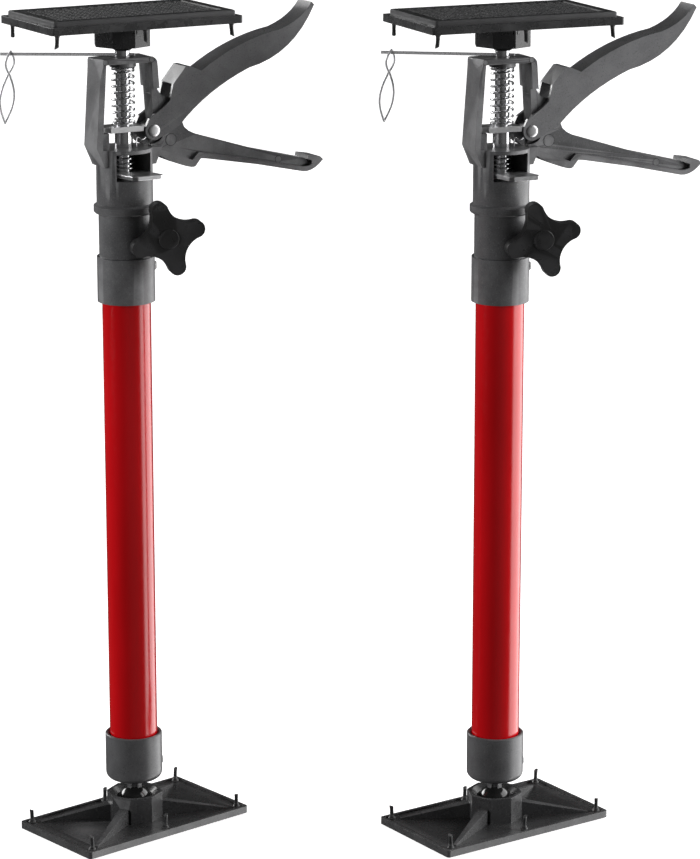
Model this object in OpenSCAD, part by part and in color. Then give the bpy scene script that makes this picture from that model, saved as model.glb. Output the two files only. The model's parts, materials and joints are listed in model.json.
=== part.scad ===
// Telescopic support prop with a squeeze-lever lift, a clamp knob and two swivelling pads.
// Each prop stands on the floor at z = 0 with its tube axis vertical; +X points along the handles.
// Heights inside a prop are counted from the underside of its base plate, unless said otherwise.

/* [Set] */
// Number of props in the set
prop_count = 2; // [1:1:2]
// Sideways step from one prop to the next, along the handles
step_x = 212; // [212:1:400]
// Sideways step from one prop to the next, across the handles
step_y = -122; // [-300:1:-122]
// Turn of the second prop about its own tube
step_turn = -6.5; // [-6.5:0.1:0]

/* [Pads and plates] */
// Length of the base and top plates
plate_w = 135; // [120:1:150]
// Depth of the base and top plates
plate_d = 78.6; // [72:0.2:84]
// Thickness of a plate at its raised rim
plate_t = 4.8; // [4.6:0.1:5.4]
// Width of the raised rim
rim_w = 2.4; // [2:0.1:3]
// How far the base pad stands out under its plate
foot_pad_proud = 1; // [0.8:0.1:2]
// How far the top pad stands out over its plate
top_pad_proud = 3.4; // [2.5:0.1:4]
// Turn of the base plate about the tube
base_yaw = 11.3; // [-45:0.1:45]
// Height of the base hub over the rim of its plate
base_hub_h = 16.6; // [16.4:0.1:17]
// Height of the top hub over the rim of its plate
top_hub_h = 14.4; // [14:0.1:14.8]
// Width of the octagonal hubs across flats
hub_af = 35; // [34:0.5:38]
// Radius of both joint balls
ball_r = 10.5; // [10:0.1:10.8]

/* [Tubes] */
// Outer radius of the lower tube
tube_r = 16; // [15.8:0.1:16]
// Wall of the lower tube
tube_wall = 1.5; // [1.2:0.1:1.6]
// Radius of the foot cap
cap_r = 19.1; // [18.5:0.1:20]
// Length of the inner tube that is pushed into the lower tube
inner_tube_len = 320; // [280:5:340]

/* [Clamp collar] */
// Radius of the sleeve over the lower tube
sleeve_r = 18.9; // [18:0.1:19.2]
// Radius of the split part that grips the inner tube
split_r = 17.3; // [17:0.1:17.8]
// Distance of the clamp screw from the tube axis
clamp_offset = 22.3; // [22:0.1:23]
// Direction of the clamp ears around the tube
ear_angle = -14; // [-30:1:0]
// Tip radius of the four-lobed knob
knob_r = 25; // [22:0.5:25]

/* [Head] */
// Half depth of the yoke
yoke_hy = 9.6; // [9:0.1:10]
// Radius of the round head body
head_r = 18.4; // [18:0.1:18.6]
// Radius of the bush round the push rod
bush_r = 5.85; // [5.6:0.05:6]
// Radius of the push rod
rod_r = 4.75; // [4.5:0.05:4.8]
// Outer radius of the drive spring
drive_spring_r = 7.8; // [7:0.1:7.9]
// Outer radius of the brake spring
brake_spring_r = 6.9; // [6.5:0.1:7.2]

/* [Handles] */
// Half width of the lever and of the handle's flange
lever_hy = 9; // [8.5:0.1:9.5]
// Sheet thickness of the lever's walls
lever_wall = 2.5; // [2:0.1:2.6]

/* [Hidden] */
FINE = 96;
MID = 48;

PREFIXES = ["", "second_"];
PARTS = [
    "base_pad", "base_plate", "foot_seat", "foot_ball", "foot_cap", "tube_screws",
    "outer_tube", "clamp_collar", "clamp_stud", "clamp_nut", "knob", "inner_tube",
    "tube_guide", "housing", "push_rod", "rod_stop", "drive_plate", "drive_spring",
    "deck_bush", "brake_plate", "brake_spring", "lever", "lever_pin", "lever_spring", "lock_pin",
    "r_clip", "head_ball", "head_seat", "top_plate", "top_pad"
];

// Running clearance of a shaft or ball in its own seat, and the gap that keeps free pieces apart.
run = 0.06;
gap = 0.3;

// Heights.
foot_ball_z = 15.5;
cap_z = 31.6;
cap_top = 64;
cap_floor = 4.6;
tube_z = cap_z + cap_floor;
sleeve_z = 361.7;
split_z = 391.5;
sleeve_seat_z = 389.5;
split_top = 420;
skirt_z = 420.4;
inner_top = 441.5;
cavity_z = 443;
cavity_top = 460.6;
deck_z = 463;
bridge_z = 515.6;
window_top = 518.2;
bridge_top = 521.8;
head_ball_z = 535.3;
top_plate_z = 543.5;
plate_top_z = top_plate_z + plate_t;

// Radii and depths that follow.
inner_r = 13.9;
inner_wall = 1.3;
seat_r = 13.5;
pocket_h = 1.6;
recess_h = 1.1;
pad_inset = 3.2;

// Lever pivot and the cam nose that works on the drive plate.
pivot = [17.6, 473.6];
boss_r = 6.3;
nose_r = 10.4;
pin_r = 2.5;
plate_z = pivot[1] + 0.15;
drive_t = 3.6;
lug_hy = 6.1;

// Brake plate, hinged at its rear edge.
brake_t = 2.7;
brake_y = 8.5;
brake_z = 445.4;
brake_tilt = 3.5;

// Lock pin and the clip that hangs on it.
pin_angle = 148.6;
lock_z = 523.1;
lock_r = 1;
clip_at = 72;
clip_r = 0.75;

// ---------- small helpers ----------

// Points of an arc from angle a0 to a1 in n steps.
function arc(c, r, a0, a1, n = 8) =
    [for (i = [0 : n]) let (a = a0 + (a1 - a0) * i / n) c + r * [cos(a), sin(a)]];

// Points of a quadratic curve from p to q that is drawn towards m, without its last point.
function bend(p, m, q, n = 6) =
    [for (i = [0 : n - 1]) let (t = i / n) (1 - t) * (1 - t) * p + 2 * t * (1 - t) * m + t * t * q];

function unit(v) = v / norm(v);

// A bent wire of radius r through pts; flat is a direction that the wire never runs along.
module wire(pts, r, flat, sides = 8) {
    last = len(pts) - 1;
    function along(i) = unit(pts[min(i + 1, last)] - pts[max(i - 1, 0)]);
    rings = [for (i = [0 : last])
        let (t = along(i), u = unit(cross(t, flat)), v = cross(u, t))
        for (k = [0 : sides - 1]) pts[i] + r * (cos(360 * k / sides) * u + sin(360 * k / sides) * v)];
    walls = [for (i = [0 : last - 1]) for (k = [0 : sides - 1])
        let (a = i * sides + k, b = i * sides + (k + 1) % sides)
        each [[a, b, b + sides], [a, b + sides, a + sides]]];
    ends = [[for (k = [sides - 1 : -1 : 0]) k], [for (k = [0 : sides - 1]) last * sides + k]];
    polyhedron(rings, concat(walls, ends));
}

// A closed loop of wire.
module wire_loop(pts, r, flat, sides = 6) {
    n = len(pts);
    rings = [for (i = [0 : n - 1])
        let (t = unit(pts[(i + 1) % n] - pts[(i + n - 1) % n]), u = unit(cross(t, flat)), v = cross(u, t))
        for (k = [0 : sides - 1]) pts[i] + r * (cos(360 * k / sides) * u + sin(360 * k / sides) * v)];
    walls = [for (i = [0 : n - 1]) for (k = [0 : sides - 1])
        let (a = i * sides + k, b = i * sides + (k + 1) % sides,
             c = ((i + 1) % n) * sides + k, d = ((i + 1) % n) * sides + (k + 1) % sides)
        each [[a, b, d], [a, d, c]]];
    polyhedron(rings, walls);
}

// Compression spring along Z between z0 and z1, with closed end turns.
module coil_spring(r_out, wire_r, z0, z1, turns) {
    low = z0 + wire_r + 0.05;
    high = z1 - wire_r - 0.05;
    per_turn = 18;
    steps = (turns + 2) * per_turn;
    closed = 2 * wire_r + 0.1;
    function height(s) = let (n = s / per_turn)
        n < 1 ? low + closed * n
        : n > turns + 1 ? high - closed * (turns + 2 - n)
        : low + closed + (high - low - 2 * closed) * (n - 1) / turns;
    wire([for (s = [0 : steps]) [
        (r_out - wire_r) * cos(360 * s / per_turn),
        (r_out - wire_r) * sin(360 * s / per_turn),
        height(s)]], wire_r, [0, 0, 1], 6);
}

// Solid from an outline in X and Z, as deep as y0 to y1.
module side_slab(y0, y1) {
    translate([0, y1, 0]) rotate([90, 0, 0]) linear_extrude(y1 - y0) children();
}

// Cylinder along Y through a point of the X and Z plane.
module cross_cylinder(c, r, y0, y1) {
    translate([c[0], y1, c[1]]) rotate([90, 0, 0]) cylinder(r = r, h = y1 - y0, $fn = MID);
}

module rounded_box(w, d, h, r) {
    translate([0, 0, h / 2]) {
        cube([w - 2 * r, d, h], center = true);
        cube([w, d - 2 * r, h], center = true);
    }
    for (x = [-1, 1]) for (y = [-1, 1])
        translate([x * (w / 2 - r), y * (d / 2 - r), 0]) cylinder(r = r, h = h, $fn = MID);
}

module ring(r_out, r_in, z0, z1) {
    translate([0, 0, z0]) difference() {
        cylinder(r = r_out, h = z1 - z0, $fn = FINE);
        translate([0, 0, -1]) cylinder(r = r_in, h = z1 - z0 + 2, $fn = FINE);
    }
}

// ---------- plates, pads and ball seats ----------

peg_x = plate_w / 2 - 6;
peg_y = plate_d / 2 - 5.5;
PEGS = [[-peg_x, -peg_y], [peg_x, -peg_y], [-peg_x, peg_y], [peg_x, peg_y], [0, -peg_y], [0, peg_y]];
peg_r = 1.5;
peg_rise = 9.6;

// Slots at the foot of a plain hub: depth, width and height.
slot_in = 1.2;
slot_w = 3.4;
slot_h = 5.5;

// Plate with its pad side down at z = 0 and its hub up; a ribbed one has ribs, a plain one has hub slots.
module plate(hub_h, ribbed) {
    hub_top = plate_t + hub_h;
    mouth_z = hub_top - 3.2;
    difference() {
        union() {
            rounded_box(plate_w, plate_d, plate_t, 2);
            cylinder(d = hub_af / cos(22.5), h = hub_top, $fn = 8);
            if (ribbed) ribs(hub_h);
        }
        translate([0, 0, plate_t - recess_h]) recess_cut(hub_h, ribbed);
        translate([0, 0, -1]) rounded_box(plate_w - 2 * pad_inset, plate_d - 2 * pad_inset, 1 + pocket_h, 2);
        translate([0, 0, -1]) cylinder(r = seat_r + run, h = mouth_z + 1, $fn = FINE);
        translate([0, 0, mouth_z - 0.01])
            cylinder(r1 = seat_r - 1.6, r2 = hub_af / 2 - 1.8, h = 3.3, $fn = FINE);
        for (p = PEGS) translate([p[0], p[1], -1]) cylinder(r = peg_r + 0.02, h = plate_t + 2, $fn = MID);
        if (!ribbed) for (a = [0, 90, 180, 270]) rotate(a)
            translate([hub_af / 2 - slot_in, -slot_w / 2, plate_t - 0.1]) cube([slot_in + 1, slot_w, slot_h]);
    }
}

// Everything above the plate's floor and inside its rim, except the hub and the ribs.
module recess_cut(hub_h, ribbed) {
    difference() {
        rounded_box(plate_w - 2 * rim_w, plate_d - 2 * rim_w, recess_h + 0.01, 1.5);
        translate([0, 0, -1]) cylinder(d = hub_af / cos(22.5), h = 4, $fn = 8);
        if (ribbed) translate([0, 0, recess_h - plate_t]) ribs(hub_h);
    }
}

// Ribs from the hub to the corners, tapered in height and in width.
module ribs(hub_h) {
    near = 14.2;
    reach = norm([peg_x, peg_y]) - 6;
    foot = plate_t - recess_h;
    shoulder_h = plate_t + hub_h * 0.55;
    for (x = [-1, 1]) for (y = [-1, 1]) rotate(atan2(y * peg_y, x * peg_x)) intersection() {
        translate([0, 5, 0]) rotate([90, 0, 0]) linear_extrude(10) polygon([
            [near, foot], [reach, foot], [reach, foot + 0.6],
            [hub_af / 2 + 1, shoulder_h], [near, shoulder_h]]);
        linear_extrude(hub_h + plate_t) polygon([[near, -3.6], [reach, -1.1], [reach, 1.1], [near, 3.6]]);
    }
}

// Pad of thickness t over the pocket floor, with the pull-through tails that hold it.
module pad(t) {
    size = [plate_w - 2 * pad_inset - 0.4, plate_d - 2 * pad_inset - 0.4];
    translate([0, 0, pocket_h - t]) rounded_box(size[0], size[1], t, 2);
    for (p = PEGS) translate([p[0], p[1], 0]) {
        cylinder(r = peg_r, h = plate_t - recess_h + peg_rise, $fn = MID);
        translate([0, 0, plate_t - recess_h]) cylinder(r = peg_r + 0.9, h = 1.8, $fn = MID);
    }
}

// Socket for a ball, open at the top by the rise over the ball's centre.
module ball_seat(ball_h, rise) {
    floor_z = pocket_h + 0.1;
    difference() {
        translate([0, 0, floor_z]) cylinder(r = seat_r, h = ball_h + rise - floor_z, $fn = FINE);
        translate([0, 0, ball_h]) sphere(r = ball_r + run, $fn = FINE);
    }
}

module base_pad() {
    color([0.06, 0.06, 0.06]) rotate(base_yaw) pad(pocket_h + foot_pad_proud);
}

module base_plate() {
    color([0.12, 0.12, 0.12]) rotate(base_yaw) plate(base_hub_h, true);
}

module foot_seat() {
    color([0.2, 0.2, 0.2]) ball_seat(foot_ball_z, 2.6);
}

module foot_ball() {
    color("silver") {
        translate([0, 0, foot_ball_z]) sphere(r = ball_r, $fn = FINE);
        translate([0, 0, foot_ball_z]) cylinder(r = 3.2, h = cap_z + cap_floor - 1.2 - foot_ball_z, $fn = MID);
    }
}

module top_plate() {
    color([0.12, 0.12, 0.12]) flip_top() plate(top_hub_h, false);
}

module top_pad() {
    color([0.06, 0.06, 0.06]) flip_top() pad(pocket_h + top_pad_proud);
}

module head_seat() {
    color([0.2, 0.2, 0.2]) flip_top() ball_seat(plate_top_z - head_ball_z, 1.6);
}

module flip_top() {
    translate([0, 0, plate_top_z]) rotate([180, 0, 0]) children();
}

// ---------- foot cap and tubes ----------

module foot_cap() {
    round_r = 5;
    neck_r = 5.2;
    color([0.14, 0.14, 0.14]) difference() {
        union() {
            translate([0, 0, cap_z]) rotate_extrude($fn = FINE) polygon(concat(
                [[0, 0], [cap_r - round_r, 0]],
                arc([cap_r - round_r, round_r], round_r, -80, 0, 6),
                [[cap_r, cap_top - cap_z - 0.6], [cap_r - 0.6, cap_top - cap_z], [0, cap_top - cap_z]]));
            for (a = [0, 90]) rotate(a + 20)
                translate([-neck_r, -1.6, foot_ball_z + 6]) cube([2 * neck_r, 3.2, cap_z - foot_ball_z - 5]);
            translate([0, 0, foot_ball_z + 6]) cylinder(r = 4.2, h = cap_z - foot_ball_z - 5, $fn = MID);
        }
        translate([0, 0, foot_ball_z]) sphere(r = ball_r + 0.02, $fn = FINE);
        translate([0, 0, foot_ball_z]) cylinder(r = 3.22, h = cap_z + cap_floor - 1 - foot_ball_z, $fn = MID);
        translate([0, 0, tube_z]) cylinder(r = tube_r + 0.05, h = 40, $fn = FINE);
        translate([0, 0, cap_top - 1.4]) cylinder(r1 = tube_r + 0.05, r2 = tube_r + 1.4, h = 1.45, $fn = FINE);
        screw_hole(-18, cap_screw_z, cap_r);
    }
}

cap_screw_z = 43;
collar_screw_z = 384.6;
screw_r = 1.7;

module screw_hole(angle, z, r) {
    rotate(angle) translate([tube_r - 3, 0, z]) rotate([0, 90, 0])
        cylinder(r = screw_r + 0.02, h = r, $fn = MID);
}

// One round-headed screw that stands out of a surface of radius r by rise.
module side_screw(angle, z, r, rise) {
    rotate(angle) translate([0, 0, z]) rotate([0, 90, 0]) difference() {
        union() {
            translate([0, 0, tube_r - tube_wall - 0.4])
                cylinder(r = screw_r, h = r - tube_r + tube_wall + 0.6, $fn = MID);
            translate([0, 0, r]) cylinder(r1 = 3, r2 = 2.3, h = rise, $fn = MID);
        }
        for (a = [0, 90]) rotate(a) translate([-1.6, -0.3, r + rise - 0.4]) cube([3.2, 0.6, 1]);
    }
}

module tube_screws() {
    color("dimgray") {
        side_screw(-18, cap_screw_z, cap_r, 0.5);
        side_screw(-22, collar_screw_z, sleeve_r, 1.1);
    }
}

module outer_tube() {
    color([0.75, 0.03, 0.05]) difference() {
        ring(tube_r, tube_r - tube_wall, tube_z + 0.05, sleeve_seat_z - 0.1);
        screw_hole(-18, cap_screw_z, cap_r);
        screw_hole(-22, collar_screw_z, sleeve_r);
    }
}

module inner_tube() {
    color("silver") ring(inner_r, inner_r - inner_wall, inner_top - inner_tube_len, inner_top - 0.05);
}

// Plug and slide ring at the lower end of the inner tube.
module tube_guide() {
    low = inner_top - inner_tube_len;
    color([0.1, 0.1, 0.1]) difference() {
        union() {
            translate([0, 0, low - 6]) cylinder(r = tube_r - tube_wall - run, h = 5.95, $fn = FINE);
            translate([0, 0, low - 0.1]) cylinder(r = inner_r - inner_wall, h = 14, $fn = FINE);
        }
        translate([0, 0, low - 7]) cylinder(r = 9.6, h = 30, $fn = FINE);
    }
}

// ---------- clamp collar, stud and knob ----------

// Frame with X along the ears and Z along the clamp screw, towards the knob.
module clamp_frame() {
    rotate(ear_angle) translate([clamp_offset, 0, clamp_z]) rotate([90, 0, 0]) children();
}

clamp_z = 406.6;
ear_r = 8;
ear_half = 6;
slot_half = 1.2;
stud_r = 3;
knob_back = 21;
knob_t = 9;
knob_turn = 17;
stud_end = knob_back + 4;

module clamp_collar() {
    color([0.12, 0.12, 0.12]) difference() {
        union() {
            ring(sleeve_r, inner_r, sleeve_z, split_z);
            ring(split_r, inner_r, split_z - 0.01, split_top);
            clamp_frame() {
                translate([0, 0, -ear_half]) cylinder(r = ear_r, h = 2 * ear_half, $fn = MID);
                translate([-8, -ear_r, -ear_half]) cube([8, 2 * ear_r, 2 * ear_half]);
            }
            clamp_frame() translate([0, 0, ear_half - 0.01]) cylinder(r = 5.4, h = 3, $fn = MID);
        }
        translate([0, 0, sleeve_z - 1])
            cylinder(r = tube_r + 0.05, h = sleeve_seat_z - sleeve_z + 1, $fn = FINE);
        translate([0, 0, sleeve_z - 1]) cylinder(r = inner_r + run, h = 80, $fn = FINE);
        rotate(ear_angle) translate([10, -slot_half, split_z + 2]) cube([30, 2 * slot_half, 40]);
        clamp_frame() translate([0, 0, -20]) cylinder(r = stud_r + run, h = 40, $fn = MID);
        clamp_frame() translate([0, 0, -ear_half - 1]) cylinder(r = 5.85, h = 3.2, $fn = 6);
        screw_hole(-22, collar_screw_z, sleeve_r);
    }
}

module clamp_nut() {
    color("silver") clamp_frame() translate([0, 0, -ear_half - 2.2]) difference() {
        cylinder(r = 5.8, h = 4.3, $fn = 6);
        translate([0, 0, -1]) cylinder(r = stud_r + run, h = 8, $fn = MID);
    }
}

module clamp_stud() {
    color("silver") clamp_frame() translate([0, 0, -ear_half - 5])
        cylinder(r = stud_r, h = stud_end + ear_half + 5, $fn = MID);
}

// Outline of the four lobes: a disc with round tips added and four round hollows taken out.
module knob_outline() {
    lobe = 5.6;
    hollow = 15;
    body = knob_r - 4.4;
    difference() {
        union() {
            circle(r = body, $fn = FINE);
            for (a = [0, 90, 180, 270]) rotate(a) translate([knob_r - lobe, 0]) circle(r = lobe, $fn = MID);
        }
        for (a = [45, 135, 225, 315]) rotate(a) translate([knob_r + 4.1, 0]) circle(r = hollow, $fn = FINE);
    }
}

module knob() {
    front = knob_back + knob_t;
    color([0.12, 0.12, 0.12]) clamp_frame() difference() {
        union() {
            translate([0, 0, knob_back]) rotate(knob_turn) linear_extrude(knob_t) knob_outline();
            translate([0, 0, ear_half + 3 + gap])
                cylinder(r1 = 7, r2 = 9.5, h = knob_back - ear_half - 3, $fn = MID);
            translate([0, 0, front - 0.01]) cylinder(r1 = 6.8, r2 = 6.3, h = 0.7, $fn = MID);
        }
        cylinder(r = stud_r, h = stud_end, $fn = MID);
    }
}

// ---------- head: housing with the fixed handle ----------

spring_room_r = 9;
spring_room_y = 3.2;
upright_out = [[18.3, 452], [23.9, 465], [20.5, 515]];
upright_in = [[19.6, 466.5], [16.2, window_top]];

// Outer line of the yoke, with a large round at its right top corner.
module yoke_outline() {
    polygon(concat(
        [for (p = upright_out) [-p[0], p[1]]],
        arc([-19.0, bridge_top - 1.4], 1.4, 180, 90, 4),
        arc([15.7, bridge_top - 4.6], 4.6, 90, 0, 8),
        [for (i = [2 : -1 : 0]) upright_out[i]]));
}

module yoke_window() {
    polygon([
        [-upright_in[0][0], deck_z], [-upright_in[0][0], upright_in[0][1]], [-upright_in[1][0], window_top],
        [upright_in[1][0], window_top], [upright_in[0][0], upright_in[0][1]], [upright_in[0][0], deck_z]]);
}

// Round moulding marks on the near face of the handle's web: X, Z and radius.
WEB_MARKS = [[31, 466.2, 3.9], [110.4, 446.8, 2.3]];

// Plate that carries the lever pivot and runs on into the handle's web.
module lug_outline() {
    difference() {
        union() {
            translate(pivot) circle(r = 4.4, $fn = MID);
            polygon(concat(
                [[16.6, 459], [17.6, 469.4], [17.6, 477.5], [19.3, 480], [18.6, 502], [20, 502], [24.5, 495.8]],
                bend([30.8, 493.7], [39.5, 489], [39.5, 477], 5),
                bend([39.5, 477], [40, 470.6], [56.4, 466.1], 4),
                [[94.3, 454.5], [130.7, 445.5], [134, 442], [127.6, 441], [93, 448.4], [55.1, 455.8],
                 [50, 455], [46, 450.4], [24, 459.2], [20, 455]]));
        }
        translate(pivot) circle(r = pin_r, $fn = MID);
    }
}

// Lip along the handle's lower edge, ending in an up-turned hook.
module flange_outline() {
    polygon(concat(
        bend([20.6, 457.4], [34, 449.6], [44.4, 447.4], 5),
        bend([44.4, 447.4], [47.6, 446.9], [48.6, 449.4], 3),
        [[48.6, 449.4], [51.4, 452.6], [55.1, 452.2], [93, 445.2], [127.6, 437.5]],
        bend([127.6, 437.5], [135.5, 436.4], [142.9, 444.4], 5),
        [[142.9, 444.4], [140.9, 446.5], [131.7, 448.1], [131.2, 445.4], [134.4, 444.4], [134.4, 441.9]],
        bend([134.4, 441.9], [131.4, 440.3], [127.6, 440.8], 4),
        [[127.6, 440.8], [93.2, 448.5], [55.3, 456], [49.6, 456.7], [45.2, 452.2], [22.3, 460.8]]));
}

hollow_z = 497;
hollow_r = 18.2;
seat_boss_r = 8.6;

// Round moulding marks on the near face of the bridge: X of each, their height and radius.
BRIDGE_MARKS = [-16.7, 16.3];
bridge_mark_z = 520;
bridge_mark_r = 1.8;
mark_rise = 0.15;

// Facet over the top left front corner of the yoke.
module corner_cut() {
    inset = 3;
    lean = 13.8;
    turn = 191.7;
    translate([inset - upright_out[2][0], -yoke_hy, bridge_top]) rotate([0, -lean, turn])
        translate([0, -40, -40]) cube([10, 80, 80]);
}

// Round seat under the bridge that the drive spring pushes against.
module spring_seat() {
    translate([0, 0, bridge_z]) cylinder(r = seat_boss_r, h = window_top - bridge_z + 1, $fn = FINE);
}

// Block on the deck that the drive plate's tongue rests on.
module rest_block() {
    translate([-20, -6.5, deck_z - 1]) cube([6.4, 13, plate_z - deck_z + 0.95]);
}

module housing() {
    color([0.12, 0.12, 0.12]) difference() {
        union() {
            side_slab(-yoke_hy, yoke_hy) yoke_outline();
            translate([0, 0, skirt_z]) rotate_extrude($fn = FINE) polygon([
                [0, 0], [19.4, 0], [20.4, 1], [20.4, 5], [head_r, 6.4],
                [head_r, deck_z - skirt_z], [0, deck_z - skirt_z]]);
            side_slab(-lug_hy, lug_hy) lug_outline();
            side_slab(-lever_hy, lever_hy) flange_outline();
            for (m = WEB_MARKS) cross_cylinder([m[0], m[1]], m[2], -lug_hy - mark_rise, -lug_hy + 0.1);
            for (x = BRIDGE_MARKS)
                cross_cylinder([x, bridge_mark_z], bridge_mark_r, -yoke_hy - mark_rise, -yoke_hy + 0.1);
            rest_block();
        }
        // Window of the yoke and hollows in its uprights, cut clear of the lug, the rest block and the seat.
        difference() {
            union() {
                side_slab(-30, 30) yoke_window();
                translate([0, 0, hollow_z]) cylinder(r = hollow_r, h = window_top - hollow_z, $fn = FINE);
            }
            side_slab(-lug_hy, lug_hy) lug_outline();
            rest_block();
            spring_seat();
        }
        corner_cut();
        // The right upright is thinner below its shoulder, where the lever's cheeks pass.
        for (s = [-1, 1]) translate([14, s > 0 ? lug_hy : -yoke_hy - 1, deck_z])
            cube([14, yoke_hy - lug_hy + 1, 38]);
        // Cavity of the brake, open to the front.
        translate([-12.2, -head_r - 2, cavity_z]) cube([24.4, head_r + 12.5, cavity_top - cavity_z]);
        translate([0, 0, skirt_z - 1]) cylinder(r = inner_r, h = inner_top - skirt_z + 1, $fn = FINE);
        translate([0, 0, inner_top - 1]) cylinder(r = 8.6, h = 4, $fn = MID);
        translate([0, 0, cavity_top - 1]) cylinder(r = rod_r + run, h = 80, $fn = MID);
        // Recess for the lever's return spring around the pivot.
        cross_cylinder(pivot, spring_room_r, -yoke_hy - 1, -spring_room_y);
        cross_cylinder(pivot, pin_r, -20, 20);
    }
}

// ---------- push rod, drive plate, brake and springs ----------

rod_bottom = 335;
rod_top = 528;

module push_rod() {
    color("silver") difference() {
        translate([0, 0, rod_bottom]) cylinder(r = rod_r, h = rod_top - rod_bottom, $fn = MID);
        rotate(pin_angle) translate([-20, 0, lock_z]) rotate([0, 90, 0])
            cylinder(r = lock_r + run, h = 40, $fn = MID);
        translate([0, 0, head_ball_z]) sphere(r = ball_r, $fn = FINE);
    }
}

module head_ball() {
    color([0.1, 0.1, 0.1]) translate([0, 0, head_ball_z]) sphere(r = ball_r, $fn = FINE);
}

module rod_stop() {
    color("silver") ring(8, rod_r, rod_bottom + 3, rod_bottom + 7);
}

module drive_plate() {
    color("silver") difference() {
        union() {
            translate([-13, -8, plate_z]) cube([23.6, 16, drive_t]);
            translate([-17.6, -4.5, plate_z]) cube([5, 9, drive_t]);
        }
        translate([0, 0, plate_z - 1]) cylinder(r = rod_r + gap, h = drive_t + 2, $fn = MID);
    }
}

module drive_spring() {
    color("silver") coil_spring(drive_spring_r, 0.65, plate_z + drive_t, bridge_z, 8);
}

// Outline of the brake tongue: left front corner cut off, right front corner rounded.
module tongue_outline() {
    cut = 2.5;
    round_r = 3;
    polygon(concat(
        [[-brake_hw, brake_y], [-brake_hw, brake_front + cut], [-brake_hw + cut, brake_front]],
        arc([brake_hw - round_r, brake_front + round_r], round_r, -90, 0, 8),
        [[brake_hw, brake_y]]));
}

brake_hw = 11;
brake_front = -37;
dish_r = 20;
dish_depth = 0.6;

// Tongue that grips the rod; its free front end is raised at rest and has a shallow round dish.
module brake_plate() {
    color("silver") translate([0, brake_y, brake_z]) rotate([-brake_tilt, 0, 0])
        translate([0, -brake_y, -brake_t / 2]) difference() {
            linear_extrude(brake_t) tongue_outline();
            translate([0, 0, -1]) cylinder(r = rod_r + 0.5, h = brake_t + 2, $fn = MID);
            translate([0, -27, brake_t + dish_r - dish_depth]) sphere(r = dish_r, $fn = FINE);
        }
}

// Plated bush round the rod, between the deck and the drive plate.
module deck_bush() {
    color("silver") ring(bush_r, rod_r + run, deck_z + 0.05, plate_z - gap);
}

module brake_spring() {
    color("silver") coil_spring(brake_spring_r, 0.6, brake_z + brake_t / 2 + 1.3, cavity_top, 2.5);
}

// ---------- lever ----------

tip_low = [136.5, 548];
tip_high = [134.5, 550];
shoulder = [42.5, 514.2];
notch = [52.4, 510.2];
wall_foot = [31.8, 502.8];

LEVER_TOP = concat(
    bend(tip_high, [127.5, 539], [111, 533.4], 6),
    bend([111, 533.4], [80, 528.5], notch, 8),
    [notch, shoulder + [1.2, -0.4], shoulder + [-1.4, -0.6]]);
LEVER_LOW = concat(
    bend(pivot + boss_r * [cos(-65), sin(-65)], [28, 471], [36.3, 475.8], 3),
    bend([36.3, 475.8], [56, 497], [87.6, 509.6], 8),
    bend([87.6, 509.6], [120.6, 516], tip_low, 8),
    [tip_low]);

// Cheek of the lever, with the round boss at its pivot.
module cheek_outline() {
    difference() {
        union() {
            translate(pivot) circle(r = boss_r, $fn = MID);
            polygon(concat(
                LEVER_LOW, LEVER_TOP, [wall_foot],
                bend([29.3, 492.4], [24, 487.6], [20.5, 485.2], 3),
                [[14.4, 481.6], pivot + boss_r * [cos(155), sin(155)], pivot]));
        }
        translate(pivot) circle(r = pin_r + run, $fn = MID);
    }
}

// Wall along the lever's upper edge, from its foot over the shoulder to the tip.
module lever_back_outline() {
    inner = lever_wall * [0.55, -1];
    polygon(concat(
        LEVER_TOP, [wall_foot, wall_foot + [2.4, -1.6]],
        [shoulder + [-0.2, -4.2], notch + [0.5, -3.1]],
        [for (p = bend(notch, [80, 528.5], [111, 533.4], 8)) p + inner],
        [for (p = bend([111, 533.4], [127.5, 539], tip_high, 6)) p + inner],
        [tip_low]));
}

// Cam nose: part of a disc about the pivot, left of it and below its height.
module nose_outline() {
    intersection() {
        difference() {
            translate(pivot) circle(r = nose_r, $fn = MID);
            translate(pivot) circle(r = 4.7, $fn = MID);
        }
        translate(pivot) polygon([[0, 0], [-12, 0], [-12, -12], [-4.3, -12]]);
    }
}

module lever() {
    color([0.12, 0.12, 0.12]) difference() {
        union() {
            for (s = [-1, 1])
                side_slab(s > 0 ? lug_hy + gap : -lever_hy, s > 0 ? lever_hy : -lug_hy - gap) cheek_outline();
            side_slab(-lever_hy, lever_hy) lever_back_outline();
            side_slab(-2.9, lug_hy + gap + 0.2) nose_outline();
        }
        cross_cylinder(pivot, pin_r + run, -20, 20);
    }
}

module lever_pin() {
    color("silver") {
        cross_cylinder(pivot, pin_r, -lever_hy - 0.3, lever_hy + 0.3);
        for (s = [-1, 1]) translate([pivot[0], s * (lever_hy + 0.1), pivot[1]]) rotate([-90 * s, 0, 0])
            cylinder(r1 = 3.9, r2 = 3.1, h = 0.9, $fn = MID);
    }
}

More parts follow.
